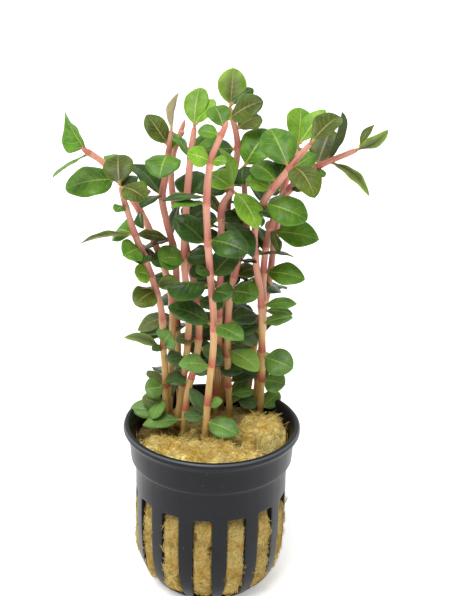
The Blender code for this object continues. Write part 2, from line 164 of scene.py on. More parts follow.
# Leaves, as in the CAD. Each row: name, which begins with the stem's; height of the node; azimuth and
# pitch of the midrib in degrees; length from the stem's axis; width; turn about the midrib; rise of the
# midrib; lift of each half-blade; tint.
LEAVES = [
    ("02a", 127.9, 134, 42, 13.5, 11, -85, 0.5, 40, "mid"),
    ("02b", 127.5, -135, -15, 13.5, 6, 25, 0.3, 10, "mid"),
    ("02c", 120, -168, -7, 14.2, 10, -35, 1.2, 10, "mid"),
    ("01a", 123, 95, 40, 10, 8.2, -15, 1, 10, "olive"),
    ("01b", 108.5, -170, -4, 14, 5, 5, 0.5, 30, "olive"),
    ("01c", 89.3, -130, -8, 8.5, 7.5, -30, 1, 10, "olive"),
    ("03c", 75.8, -172, -18, 12, 6, -30, 1, 10, "olive"),
    ("01e", 70.5, 180, 19, 11.5, 5, -15, 1, 20, "purple"),
    ("03a", 114.5, 140, 35, 13, 8.5, 0, 0.8, 20, "dark"),
    ("03b", 128, -100, -20, 10, 9.5, 0, 1.5, 10, "mid"),
    ("06i", 94, -172, 2, 11.8, 9.5, -16, 1, -39, "dark"),
    ("04a", 48.5, -170, -5, 12, 5.5, -25, 0.8, 15, "mid"),
    ("05c", 127.2, 25, 35, 10, 7, 10, 1, 10, "mid"),
    ("06j", 129, -148, 26, 7.5, 5.5, -70, 1, 8, "light"),
    ("05e", 135.5, 86, 55, 11.4, 6.8, -15, 0.5, 10, "light"),
    ("06a", 82, 180, 25, 13.5, 8, -30, 1.2, 12, "dark"),
    ("06b", 81.5, -45, -3, 10.5, 6.5, 20, 1, 12, "mid"),
    ("06c", 52, -30, -8, 10, 7, 30, 0.8, 15, "mid"),
    ("06d", 69, -150, 20, 10.5, 6, -40, 1, 10, "mid"),
    ("06e", 108, -30, -2, 12, 8, 40, 1.5, 10, "dark"),
    ("06f", 106, 165, 35, 11.5, 7.5, -40, 1.2, 5, "dark"),
    ("06g", 137.5, 110, 35, 8, 6.5, -15, 1, 15, "mid"),
    ("06h", 139.8, -25, 35, 11, 8, 50, 0.8, 10, "olive"),
    ("07a", 136.5, 80, 60, 11.5, 8, 5, 0.5, 10, "purple"),
    ("08c", 108, -42, -30, 14, 7.5, 5, 2, 15, "dark"),
    ("08a", 117, 140, 66, 12, 5, 0, 2, 25, "light"),
    ("08b", 117.3, -50, -35, 13, 8, 10, 1.5, 12, "light"),
    ("09a", 85, -45, 10, 10, 8, 40, 1, 10, "mid"),
    ("09b", 67, -40, -10, 11.7, 7.5, 20, 1.2, 12, "light"),
    ("09c", 120.5, 35, 50, 13, 10, 30, 1, 10, "mid"),
    ("09d", 76.5, 30, 5, 9.5, 7, 25, 1, 8, "dark"),
    ("10a", 65.5, -35, -5, 10, 8.5, 45, 1, 10, "mid"),
    ("10b", 125.5, 115, 35, 14, 10, -20, 1, 8, "mid"),
    ("10c", 121.5, 140, 25, 8.8, 8, -20, 1, 8, "mid"),
    ("10d", 126.5, -62, -17, 13.2, 8.6, 10, 2, 10, "olive"),
    ("10e", 115, -25, -12, 12.8, 9, 40, 1.2, 8, "mid"),
    ("10f", 133.5, 40, 28, 12.2, 8, 20, 1, 30, "olive"),
    ("10g", 75.5, -20, 22, 9.5, 4.6, 40, 0.8, 15, "mid"),
    ("11a", 103.8, -20, 0, 14, 8, 45, 1, 10, "mid"),
    ("11b", 90.4, -25, 5, 12.5, 7, 45, 1, 10, "mid"),
    ("11c", 125.5, 20, 72, 14, 5.6, -170, 0.5, 50, "dark"),
    ("11d", 126, -30, -32, 14, 5.2, 5, 1.5, 20, "purple"),
    ("11e", 129.5, -35, 36, 11.5, 4.8, 140, 0.5, 15, "purple"),
    ("11f", 129.8, 45, 48, 7.8, 3.2, -5, 0.5, 20, "olive"),
    ("12a", 123.5, 85, 55, 12, 8.5, 20, 0.5, 10, "light"),
]
# Smaller leaves between them, by tint. Each row: stem, then as above.
SMALL_LEAVES = {
    "light": [
        (1, 95, -130, 30, 7, 6, -60, 0.6, 10), (5, 136, 40, 47, 8.8, 6, 10, 0.5, 12),
        (10, 119, 180, 20, 7.5, 5.5, -40), (12, 124, 30, 52, 12.5, 6.5, 30, 0.4, 12),
        (3, 128, 30, 60, 6, 3, 20, 0.4, 20), (8, 118, 150, 20, 8.5, 8.5, -20),
        (6, 129.5, -35, 12, 5, 3.5, 40, 0.4, 10),
    ],
    "mid": [
        (2, 123.5, 60, 5, 8, 7, 0, 0.6, 10), (1, 117, -130, -5, 4, 4, -10, 0.4, 10),
        (1, 109, 130, -8, 8.5, 8, -40, 0.8, 8), (1, 104, -120, 5, 7.5, 7.5, -40, 0.6, 10),
        (3, 100, -95, -25, 10, 7.5, -20, 1, 10), (1, 71, -60, 55, 7.5, 7.5, 110, 0.6, 10),
        (6, 118, -140, 10, 12, 4, -10, 0.5, 12), (5, 127, 140, 45, 9.5, 6.5, 20),
        (11, 124, 140, 33, 8, 6.5, 20, 0.5, 12), (11, 124, -60, -25, 4, 3, -10, 0.4, 12),
        (10, 81.6, 0, 8, 10, 5, 20, 0.5, 12), (11, 78.6, 0, -5, 8.5, 4.5, 30, 0.5, 12),
        (10, 57, -20, 0, 7, 8, 30, 0.5, 12), (10, 47, 20, 35, 7.5, 5.5, 40),
        (9, 48, 40, 50, 10.5, 5.5, 10, 0.4, 12), (6, 57, -20, 30, 5, 3.5, 40, 0.4, 12),
        (1, 54, -125, -35, 7.5, 5.5, 10, 0.4, 12), (1, 49, 180, 5, 10, 6, -40, 0.5, 12),
        (1, 57, -160, 0, 6, 6.5, -50, 0.4, 12), (5, 58, -150, 15, 7, 5, 40, 0.4, 12),
        (6, 136, 175, 8, 6, 4.5, -40, 0.5, 15), (9, 52, 10, 5, 7.5, 4, 30),
        (5, 97, -150, 10, 7, 5.5, -30), (10, 122, 20, 35, 12, 7, 20),
    ],
    "dark": [
        (1, 122, 50, 30, 6, 5, 0), (3, 115, -120, 0, 10, 6, 10, 0.8, 10),
        (2, 110, -80, -15, 8, 4, 50, 0.6, 35), (1, 102, -95, 0, 6, 5.5, 0, 0.6, 10),
        (2, 98, -70, -15, 8, 6, 30, 0.6, 15), (1, 71, -130, 10, 4.5, 3, -30, 0.4, 10),
        (6, 92, -50, 15, 8.5, 6.5, 40, 0.8, 8), (5, 66, -140, 10, 6.5, 6, -40),
        (4, 70, 20, -35, 10, 7, 40, 0.6, 10), (9, 74, 10, -25, 10, 7, 30, 0.6, 10),
        (3, 101, 60, 70, 10.5, 5, -30, 0.5, 20), (6, 120, -160, 4, 12, 6, 0, 0.6, 12),
        (5, 115.5, 72, 45, 9, 9.5, -10, 0.8, 8), (7, 125, 185, -5, 11, 9, -30, 0.5, 12),
        (9, 121, -90, -20, 7.5, 7, 30), (9, 118, -50, -28, 10.5, 5, -10, 0.5, 25),
        (7, 106, -50, 15, 5, 4, 20, 0.4, 12), (6, 96, 20, 45, 10, 8, 30),
        (4, 94, -40, -10, 7.5, 7.5, 30), (6, 98, -130, 15, 5.5, 4.5, -30, 0.4, 10),
        (9, 95, -50, 15, 8, 4, 0, 0.4, 10), (7, 137, 20, 35, 8, 5, 30),
        (10, 113, -60, -5, 6, 5.5, 0, 0.4, 12), (11, 99, 110, 30, 8, 6, 30, 0.4, 12),
        (9, 56, 20, 15, 9, 6.5, 20, 0.4, 30), (10, 49, -170, 10, 6.5, 5.5, -30, 0.4, 12),
        (6, 53, 140, 50, 9.5, 4.8, -10, 0.4, 12), (6, 53, -170, 10, 6.5, 5, -20, 0.4, 12),
        (2, 50, 0, 80, 9, 5.5, 30, 0.3, 12), (5, 108.5, 60, 35, 8.5, 6.5, 0),
        (3, 73.5, -176, -18, 12.5, 5.5, -30, 0.6, 12), (4, 84, -25, -5, 8, 6.5, 20, 0.6, 10),
        (11, 73, -165, -5, 9.5, 6, -30, 0.6, 12), (9, 104, 160, 20, 8, 7, -20),
        (8, 103, 30, 10, 9, 7, 20), (7, 98, -20, 0, 8.5, 6.5, 20), (7, 97, 170, 5, 8, 6.5, -20),
        (5, 98, -20, 15, 8.5, 7.5, 20), (9, 118, -160, 10, 8.5, 7, -30), (3, 86, 160, 10, 8, 6, -20),
        (4, 60, 170, 10, 7, 5, -30), (8, 60, -30, 10, 8, 5.5, 30), (8, 62, 160, 10, 8, 5.5, -20),
        (7, 76, -20, 5, 8.5, 6, 20), (12, 88, -15, 0, 8.5, 6.5, 30), (8, 75, 170, 5, 9.5, 7.5, -20),
        (8, 66, -170, 10, 9, 7, -20), (7, 112, 180, 5, 10, 8, -20), (8, 108, 170, 0, 9, 8, -20),
        (9, 107, -170, -5, 8, 6, -20), (7, 70, 175, 5, 10, 8, -30), (8, 88, 175, -5, 9, 7, -20),
        (10, 121, 60, 50, 8, 6.5, 0), (4, 62, 30, 20, 8, 6, 20),
    ],
    "olive": [
        (1, 124, -30, -10, 8, 8, 20, 0.8, 10), (3, 101, -160, 15, 10, 4.5, -30, 0.6, 15),
        (3, 101, -170, -15, 9, 6, 10), (3, 129.5, 150, 45, 10.5, 6.5, -30),
        (4, 97, -40, 15, 7, 5.5, 30, 0.4, 10), (9, 90, 40, 5, 9, 6.5, 20),
        (7, 130, 20, 25, 8, 8.5, 20, 0.6, 10), (11, 105, -60, -45, 7.5, 3.8, -10, 0.4, 12),
        (10, 98.2, 0, 2, 10.5, 5, -10), (11, 124, 60, 50, 11.5, 8.5, 10, 0.4, 12),
        (11, 117, -40, 10, 5, 3.5, 20, 0.4, 12), (10, 112, -80, -40, 5, 2.5, -40, 0.3, 25),
        (11, 50, 50, 65, 10, 5.5, 0, 0.4, 12), (1, 52, -170, 20, 7, 5.5, -80, 0.4, 12),
        (1, 57.5, 140, 25, 7.5, 5, 0, 0.4, 12), (2, 80, 30, 10, 7, 5, 20),
        (2, 96, -165, 8, 9.5, 7.5, -25, 0.8, 10), (11, 70, -150, 0, 8, 5, -40, 0.6, 12),
        (4, 72, 180, 0, 6.5, 5, -20), (8, 109, 150, 48, 8, 5, 0, 0.4, 15),
    ],
    "purple": [
        (1, 89, -150, 18, 6.5, 4.5, 50, 0.5, 20), (3, 134, 60, 75, 10.5, 4.5, -100, 0.4, 40),
        (1, 91, 10, 15, 6.5, 5, 40, 0.5, 15),
    ],
}
# Rise and lift where a row leaves them out
USUAL_LIFTS = (0.5, 10)

# Heights between which the rear stems also carry leaves towards the back
REAR_RANGES = {
    2: (56, 78), 3: (56, 90), 7: (60, 120), 8: (58, 100), 9: (60, 112), 11: (58, 112), 12: (56, 120),
}
# Degrees that the leaves of the right-hand rear stems turn to the left, to stay behind the bunch
REAR_TURNS = {11: 35.0, 12: 35.0}
# Half the angle between the leaves of a rear pair, their share of width, rise, lift and tints
REAR_SPREAD = 48.0
REAR_WIDTH = 0.72
REAR_RISE = 0.7
REAR_LIFT = 10
REAR_TINTS = ("dark", "dark", "mid", "olive")
REAR_SEED = 41
SMALL_SEED = 5
# Mesh cells along and across a named leaf and a small one
LEAF_CELLS = (30, 12)
SMALL_CELLS = (20, 8)

# Blade shape
PETIOLE_SHARE = 0.08
PETIOLE_HALF_WIDTH = 0.42
PETIOLE_THICKNESS = 0.7
BLADE_THICKNESS = 0.26
MARGIN_THICKNESS = 0.07
VEIN_BEATS = 6 * 1.15
VEIN_LEAN = 0.24
# The power that sets where the blade is widest, nearer the tip as it grows
BLADE_PEAK = 1.02
# Leaves with an outline of their own: that power, and one that is smaller for a blunter blade
BLADE_SHAPES = {
    "02a": (0.42, 1.25), "02c": (0.9, 0.5), "05e": (1.2, 0.5), "11a": (1.25, 0.75), "11c": (1.4, 0.5),
    "11d": (0.9, 0.8), "12a": (1.25, 0.5),
}
# How strong the flush of young leaves is in each tint
FLUSH = {"light": 0.15, "mid": 0.1, "dark": 0.1, "olive": 0.6, "purple": 0.95}


def srgb(red, green, blue):
    """Screen values from 0 to 255 as a linear colour."""
    parts = []
    for value in (red / 255, green / 255, blue / 255):
        parts.append(value / 12.92 if value <= 0.04045 else ((value + 0.055) / 1.055) ** 2.4)
    return (*parts, 1.0)


# Leaf colours on the screen, from 0 to 255: deep and pale parts of the blade, veins, underside, and the
# flush of young leaves
TINTS = {
    "light": ((86, 138, 18), (138, 182, 52), (196, 214, 126), (136, 154, 76), (104, 104, 50)),
    "mid": ((52, 98, 14), (100, 148, 40), (160, 188, 88), (104, 128, 64), (96, 86, 44)),
    "dark": ((22, 50, 8), (60, 98, 26), (112, 142, 62), (70, 84, 44), (64, 60, 34)),
    "olive": ((50, 72, 8), (100, 124, 32), (158, 166, 84), (120, 98, 66), (66, 44, 24)),
    "purple": ((84, 122, 22), (140, 178, 58), (142, 126, 78), (176, 160, 126), (56, 40, 26)),
}
PETIOLE_COLOUR = srgb(188, 158, 92)
# A dull bloom over the older leaves low on the stems
LOW_BLOOM = srgb(161, 183, 143)
LEAF_ROUGHNESS = {"light": 0.4, "mid": 0.36, "dark": 0.33, "olive": 0.38, "purple": 0.42}


def link(name, data):
    """A new object in the scene that holds the data."""
    made = bpy.data.objects.new(name, data)
    bpy.context.scene.collection.objects.link(made)
    return made


def link_bmesh(name, bm, material):
    """A smooth-shaded object from a bmesh, which is freed."""
    mesh = bpy.data.meshes.new(name)
    bm.to_mesh(mesh)
    bm.free()
    mesh.shade_smooth()
    mesh.materials.append(material)
    return link(name, mesh)


def make_piece(name, points, faces, material, looks, uvs=None):
    """An object from points in millimetres, with its look colours and UVs given for each point."""
    mesh = bpy.data.meshes.new(name)
    mesh.from_pydata((np.asarray(points) * MM).tolist(), [], faces)
    mesh.update()
    corners = np.empty(len(mesh.loops), dtype=np.int32)
    mesh.loops.foreach_get("vertex_index", corners)
    if uvs is not None:
        layer = mesh.uv_layers.new(name="UVMap")
        layer.data.foreach_set("uv", np.asarray(uvs, dtype=np.float32)[corners].ravel())
    layer = mesh.color_attributes.new("look", "FLOAT_COLOR", "POINT")
    layer.data.foreach_set("color", np.asarray(looks, dtype=np.float32).ravel())
    mesh.shade_smooth()
    mesh.materials.append(material)
    return link(name, mesh)


def register(piece, slot, *nodes):
    """The piece belongs to the one body and stands for the CAD nodes, which are hidden. The slot is not
    used.
    """
    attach(piece, "root")
    if nodes:
        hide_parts(*nodes)


class Nodes:
    """The nodes of a material or a world, with short calls that add more before its last one."""

    def __init__(self, owner, last):
        owner.use_nodes = True
        self.owner = owner
        self.tree = owner.node_tree
        self.last = self.tree.nodes[last]

    def put(self, socket, value):
        if isinstance(value, bpy.types.NodeSocket):
            self.tree.links.new(value, socket)
        else:
            socket.default_value = value

    def node(self, kind, inputs=None, **settings):
        """The outputs of a new node, whose inputs are given by name or number."""
        made = self.tree.nodes.new(kind)
        for key, value in settings.items():
            setattr(made, key, value)
        for key, value in (inputs or {}).items():
            self.put(made.inputs[key], value)
        return made.outputs

    def maths(self, operation, *values):
        return self.node("ShaderNodeMath", dict(enumerate(values)), operation=operation)[0]

    def times(self, first, second):
        return self.maths("MULTIPLY", first, second)

    def ramp(self, value, low, high, start=0.0, end=1.0):
        """The value's place between low and high, smoothly, from start to end."""
        inputs = {"Value": value, "From Min": low, "From Max": high, "To Min": start, "To Max": end}
        return self.node("ShaderNodeMapRange", inputs, interpolation_type="SMOOTHSTEP")["Result"]

    def mix(self, share, first, second, blend="MIX"):
        inputs = {"Factor": share, "A": first, "B": second}
        return self.node("ShaderNodeMix", inputs, data_type="RGBA", blend_type=blend)["Result"]

    def place(self, stretch=(1.0, 1.0, 1.0)):
        """The object's coordinates in millimetres, stretched along each axis."""
        where = self.node("ShaderNodeTexCoord")["Object"]
        scale = [1000.0 * part for part in stretch]
        return self.node("ShaderNodeMapping", {"Scale": scale, "Vector": where})["Vector"]

    def noise(self, scale, detail=3.0, roughness=0.5, place=None):
        inputs = {"Scale": scale, "Detail": detail, "Roughness": roughness}
        inputs["Vector"] = place or self.place()
        return self.node("ShaderNodeTexNoise", inputs)["Fac"]

    def look(self):
        """The piece's four look values."""
        look = self.node("ShaderNodeAttribute", attribute_name="look")
        return (*self.node("ShaderNodeSeparateColor", {0: look["Color"]}), look["Alpha"])

    def axes(self, vector):
        """The three parts of a vector."""
        return self.node("ShaderNodeSeparateXYZ", {0: vector})

    def bump(self, height, strength, distance):
        inputs = {"Height": height, "Strength": strength, "Distance": distance * MM}
        self.put(self.last.inputs["Normal"], self.node("ShaderNodeBump", inputs)["Normal"])

    def paint(self, colour, shade=None):
        """The base colour, times a grey shade where one is given."""
        if shade is not None:
            grey = self.node("ShaderNodeCombineColor", {0: shade, 1: shade, 2: shade})[0]
            colour = self.mix(1.0, colour, grey, "MULTIPLY")
        self.put(self.last.inputs["Base Color"], colour)


def make_shader(name, **sockets):
    """A new material's nodes, with values for sockets of its Principled BSDF."""
    shader = Nodes(bpy.data.materials.new(name), "Principled BSDF")
    for socket, value in sockets.items():
        label = socket.replace("_", " ").title().replace("Ior", "IOR")
        shader.last.inputs[label].default_value = value
    return shader


def leaf_material(tint):
    """A leaf blade: mottled green, pale midrib and side veins, darker underside, and a bronze flush."""
    deep, pale, vein, under, flush = [srgb(*colour) for colour in TINTS[tint]]
    shader = make_shader("leaf_" + tint, roughness=LEAF_ROUGHNESS[tint], subsurface_weight=0.08,
                         subsurface_scale=0.0006, specular_ior_level=0.26)
    tone, blush, side, _ = shader.look()
    along, across = shader.axes(shader.node("ShaderNodeUVMap", uv_map="UVMap")["UV"])[:2]
    out = shader.times(shader.maths("ABSOLUTE", shader.maths("SUBTRACT", across, 0.5)), 2.0)
    curve = shader.times(shader.maths("POWER", out, 1.3), VEIN_LEAN)
    beat = shader.times(shader.maths("SUBTRACT", along, curve), VEIN_BEATS)
    beat = shader.maths("FRACT", beat)
    away = shader.maths("ABSOLUTE", shader.maths("SUBTRACT", beat, 0.5))
    side_vein = shader.times(shader.ramp(away, 0.06, 0.0), shader.ramp(out, 0.95, 0.5))
    midrib = shader.ramp(along, 1.05, 0.5, 0.35, 1.0)
    midrib = shader.times(shader.ramp(out, 0.07, 0.015), midrib)
    mottle = shader.noise(0.26, 3.0, 0.5)
    fine = shader.noise(3.0, 2.0, 0.6)
    body = shader.mix(shader.ramp(mottle, 0.25, 0.75, 0.1, 0.9), deep, pale)
    body = shader.mix(shader.ramp(out, 0.8, 1.0, 0.0, 0.3), body, pale)
    body = shader.mix(blush, body, flush)
    height = shader.axes(shader.place())[2]
    body = shader.mix(shader.ramp(height, 92.0, 70.0, 0.0, 0.12), body, LOW_BLOOM)
    body = shader.mix(shader.times(side_vein, 0.42), body, vein)
    body = shader.mix(shader.times(midrib, 0.75), body, vein)
    below = shader.mix(shader.times(midrib, 0.6), under, vein)
    body = shader.mix(shader.times(side, 0.85), body, below)
    body = shader.mix(shader.ramp(along, 0.14, 0.03, 0.0, 0.8), body, PETIOLE_COLOUR)
    shade = shader.maths("MULTIPLY_ADD", tone, 0.8, 0.6)
    shade = shader.times(shade, shader.ramp(fine, 0.2, 0.8, 0.86, 1.12))
    shader.paint(body, shade)
    relief = shader.maths("MULTIPLY_ADD", side_vein, -0.6, shader.times(fine, 0.5))
    shader.bump(relief, 0.35, 0.25)
    return shader.owner


def stem_material():
    """Salmon pink above; below, each length between nodes runs from red at its foot to tan at its top."""
    shader = make_shader("rotala_stem", roughness=0.42, subsurface_weight=0.12, subsurface_scale=0.001,
                         specular_ior_level=0.4)
    phase, height, ring, own = shader.look()
    streak = shader.noise(1.0, 3.0, 0.6, shader.place((1.6, 1.6, 0.16)))
    spots = shader.noise(1.4, 2.0, 0.5)
    low = shader.mix(shader.ramp(phase, 0.05, 0.5), srgb(187, 98, 76), srgb(208, 174, 108))
    high = shader.mix(shader.ramp(phase, 0.0, 0.8), srgb(186, 108, 96), srgb(208, 148, 124))
    body = shader.mix(shader.ramp(height, 0.22, 0.5), low, high)
    body = shader.mix(shader.ramp(height, 0.05, 0.0), body, srgb(150, 132, 62))
    body = shader.mix(shader.ramp(streak, 0.35, 0.75, 0.0, 0.3), body, srgb(184, 104, 90))
    body = shader.mix(shader.ramp(spots, 0.62, 0.8, 0.0, 0.3), body, srgb(214, 176, 130))
    body = shader.mix(shader.times(ring, 0.28), body, srgb(140, 78, 54))
    shader.paint(body, shader.maths("MULTIPLY_ADD", own, 0.3, 0.85))
    shader.bump(streak, 0.3, 0.15)
    return shader.owner


def wool_material():
    """Golden tan rockwool with darker brown and paler straw patches, and painted shade in its hollows,
    low places and under the collar.
    """
    shader = make_shader("rockwool", roughness=0.95, specular_ior_level=0.15)
    tone, deep, aside, _ = shader.look()
    patch = shader.noise(0.22, 4.0, 0.6)
    grain = shader.noise(2.2, 4.0, 0.7)
    body = shader.mix(shader.ramp(patch, 0.3, 0.7), srgb(222, 188, 92), srgb(255, 238, 160))
    body = shader.mix(shader.ramp(grain, 0.42, 0.7, 0.0, 0.6), body, srgb(172, 138, 66))
    specks = shader.noise(0.9, 4.0, 0.75)
    olive = shader.mix(shader.ramp(specks, 0.54, 0.66), srgb(156, 126, 70), srgb(58, 46, 28))
    body = shader.mix(shader.times(aside, 0.64), body, olive)
    # Painted shade: dark brown where the second look value marks the wool's hollows, low bed, dips and
    # the area under the collar
    body = shader.mix(shader.times(deep, 0.85), body, srgb(72, 54, 28))
    shader.paint(body, shader.maths("MULTIPLY_ADD", tone, 0.7, 0.64))
    shader.bump(grain, 0.7, 0.5)
    return shader.owner


def pot_material():
    """Charcoal moulded plastic of uneven gloss, with faint dust and a painted highlight round the outer
    crest of the lip.
    """
    shader = make_shader("pot_plastic", roughness=0.34, specular_ior_level=0.22)
    cloud = shader.noise(0.12, 3.0, 0.5)
    grain = shader.noise(5.0, 2.0, 0.5)
    dust = shader.noise(1.6, 1.0, 0.4)
    body = shader.mix(shader.ramp(cloud, 0.3, 0.7), srgb(11, 12, 17), srgb(18, 19, 25))
    parts = shader.axes(shader.place())
    squares = [shader.times(part, part) for part in parts[:2]]
    radius = shader.maths("SQRT", shader.maths("ADD", *squares))
    # Painted highlight: a pale grey line round the outer crest of the lip, above a height of 49.2 and
    # beyond a radius of 24.3
    high = shader.ramp(parts[2], 49.2, 49.5, 0.0, 0.6)
    painted_lip_highlight = shader.times(shader.ramp(radius, 24.3, 24.6), high)
    body = shader.mix(painted_lip_highlight, body, srgb(98, 103, 110))
    body = shader.mix(shader.ramp(dust, 0.76, 0.82, 0.0, 0.3), body, srgb(150, 150, 146))
    shader.paint(body)
    rough = shader.ramp(cloud, 0.25, 0.75, 0.3, 0.38)
    shader.put(shader.last.inputs["Roughness"], rough)
    shader.bump(grain, 0.12, 0.08)
    return shader.owner


def profile_radius(profile, height):
    """The radius of an outline of (radius, height) points at a height."""
    rows = sorted(profile, key=lambda row: row[1])
    return float(np.interp(height, [row[1] for row in rows], [row[0] for row in rows]))


def inner_radius(height):
    return profile_radius(POT_INNER, height)


def wall_rows():
    """The whole wall as pairs of outer and inner points, and the first and last row beside the slots."""
    slots = []
    for height in SLOT_HEIGHTS:
        inner = max(height, 1.9)
        slots.append((profile_radius(POT_OUTER, height), height, profile_radius(POT_INNER, inner), inner))
    rows = POT_COLLAR + slots + POT_FOOT
    first = len(POT_COLLAR)
    last = first + len(slots) - 1
    radii = [row[0] for row in rows]
    for index in range(first + 1, last):
        smooth = (radii[index - 1] + 2 * radii[index] + radii[index + 1]) / 4
        rows[index] = (smooth, *rows[index][1:])
    return rows, first, last


def column_angles(radius):
    """Angles from a slot's middle: its edge, its inside, its other edge, and the bar beyond."""
    half = SLOT_WIDTH / 2
    sides = [-half, -half + SLOT_ROUNDING, 0.0, half - SLOT_ROUNDING, half, half + EDGE_SOFTNESS]
    angles = [math.asin(side / max(radius, SLOT_INNER_RADIUS)) for side in sides]
    return angles + [SLOT_PITCH / 2, SLOT_PITCH - angles[-1]]


def border(first, last, left, right):
    """The rows and columns of the places round the edge of a part of a grid."""
    places = [(first, column) for column in range(left, right)]
    places += [(row, right) for row in range(first, last)]
    places += [(last, column) for column in range(right, left, -1)]
    return places + [(row, left) for row in range(last, first, -1)]


def make_pot(material):
    """The pot's wall as one closed mesh with fourteen softened slots, and its floor."""
    rows, first, last = wall_rows()
    columns = len(column_angles(22.0))
    total = columns * SLOT_COUNT
    bm = bmesh.new()
    sides = []
    for side in (0, 2):
        grid = []
        for row in rows:
            radius, height = row[side], row[side + 1]
            angles = [SLOT_FIRST + slot * SLOT_PITCH + angle
                      for slot in range(SLOT_COUNT) for angle in column_angles(radius)]
            grid.append([bm.verts.new((radius * math.cos(angle), radius * math.sin(angle), height))
                         for angle in angles])
        sides.append(grid)
    outer, inner = sides
    for grid in sides:
        for index in range(len(rows) - 1):
            for column in range(total):
                if first <= index < last and column % columns < SLOT_CELLS:
                    continue
                after = (column + 1) % total
                bm.faces.new((grid[index][column], grid[index][after], grid[index + 1][after],
                              grid[index + 1][column]))
        bm.faces.new(grid[-1])
    for column in range(total):
        after = (column + 1) % total
        bm.faces.new((outer[0][column], outer[0][after], inner[0][after], inner[0][column]))
    for slot in range(SLOT_COUNT):
        left = slot * columns
        chains = []
        for row, column in border(first, last, left, left + SLOT_CELLS):
            near, far = outer[row][column], inner[row][column]
            step = (far.co - near.co).normalized() * EDGE_SOFTNESS
            chains.append([near, bm.verts.new(near.co + step), bm.verts.new(far.co - step), far])
        for chain, after in zip(chains, chains[1:] + chains[:1]):
            for part in range(3):
                bm.faces.new((chain[part], chain[part + 1], after[part + 1], after[part]))
    bmesh.ops.scale(bm, vec=(MM, MM, MM), verts=bm.verts[:])
    bmesh.ops.recalc_face_normals(bm, faces=bm.faces[:])
    pot = link_bmesh("net_pot", bm, material)
    smooth = pot.modifiers.new("smooth", "SUBSURF")
    smooth.levels = 1
    smooth.render_levels = 1
    register(pot, "pot", "pot")


def slot_offset(angle):
    """The angle from the middle of the nearest slot."""
    return (angle - SLOT_FIRST + SLOT_PITCH / 2) % SLOT_PITCH - SLOT_PITCH / 2


def smoothstep(value, low, high):
    share = min(1.0, max(0.0, (value - low) / (high - low)))
    return share * share * (3.0 - 2.0 * share)


def fluff(x, y, z, size, seed):
    """Rough noise from about -1 to 1, with features of the given size."""
    return noise.fractal(Vector((x / size + seed, y / size, z / size)), 0.9, 2.1, 3)


def wool_side(angle, height):
    """A point on the wool's side: against the wall behind a bar, and pressed out between the bars."""
    inside = inner_radius(height) - WOOL_GAP
    offset = slot_offset(angle)
    slot = round((angle - SLOT_FIRST - offset) / SLOT_PITCH) % SLOT_COUNT
    across = inside * math.sin(offset) / (SLOT_WIDTH / 2 - 0.1)
    window = smoothstep(height, 2.0, 6.0) * (1.0 - smoothstep(height, 25.5, 30.0))
    push = 0.0
    if abs(across) < 1.0:
        swell = math.sqrt(1.0 - across ** 4)
        own = noise.noise(Vector((slot * 3.7, height / 7.0, 1.5)))
        slump = 0.45 * smoothstep(height, 22.0, 8.0) if height < 22.0 else 0.0
        x, y = inside * math.cos(angle), inside * math.sin(angle)
        push = swell * (window * (1.5 + 1.0 * own + slump) + 0.45 * fluff(x, y, height, 3.0, 4.0)
                        + 0.22 * fluff(x, y, height, 1.0, 9.0))
        ragged = noise.noise(Vector((slot * 5.1 + across * 0.8, height / 5.0, 7.5)))
        edge = smoothstep(abs(across), 0.35, 0.95)
        push -= 2.6 * edge * smoothstep(ragged, 0.12, 0.4)
    radius = inside + push
    return radius * math.cos(angle), radius * math.sin(angle), height


def bank_edge(x):
    """Where the front bank ends behind, at a distance to the right."""
    return float(np.interp(x, [place[0] for place in BANK_EDGE], [place[1] for place in BANK_EDGE]))


def hollows(x, y):
    """Each hollow's depth and how near the place is to it, from 0 to 1."""
    return [(depth, math.exp(-((x - middle_x) ** 2 + (y - middle_y) ** 2) / spread ** 2))
            for middle_x, middle_y, depth, spread in WOOL_HOLLOWS]


def wool_top(x, y):
    """The height of the wool's top: its bed, bank, mound, hollows, split and torn fluff."""
    torn = 0.9 * fluff(x, y, 0.0, 4.0, 21.0)
    bank = smoothstep(bank_edge(x) - y + torn, -0.9, 1.5)
    far = math.hypot((x - MOUND_PLACE[0]) / MOUND_REACH[0], (y - MOUND_PLACE[1]) / MOUND_REACH[1])
    mound = smoothstep(1.0 - far + 0.1 * torn, -0.06, 0.3)
    height = WOOL_BED + max(BANK_HEIGHT * bank, MOUND_HEIGHT * mound)
    for depth, nearness in hollows(x, y):
        height -= depth * nearness
    away = split_distance(x, y)
    wander = 0.9 * noise.noise(Vector((x / 5.0, y / 5.0, 3.0)))
    height -= 1.6 * math.exp(-((away + wander) / 0.8) ** 2) * (1.0 - bank) * (1.0 - mound)
    height += 1.3 * fluff(x, y, 0.0, 4.5, 2.0) + 0.7 * fluff(x, y, 0.0, 1.6, 6.0)
    return height + 0.22 * fluff(x, y, 0.0, 0.6, 8.0)


def split_distance(x, y):
    """How far behind the split between the two pads a place is."""
    across, back = WOOL_SPLIT_BACK
    return (x - WOOL_SPLIT_POINT[0]) * across + (y - WOOL_SPLIT_POINT[1]) * back


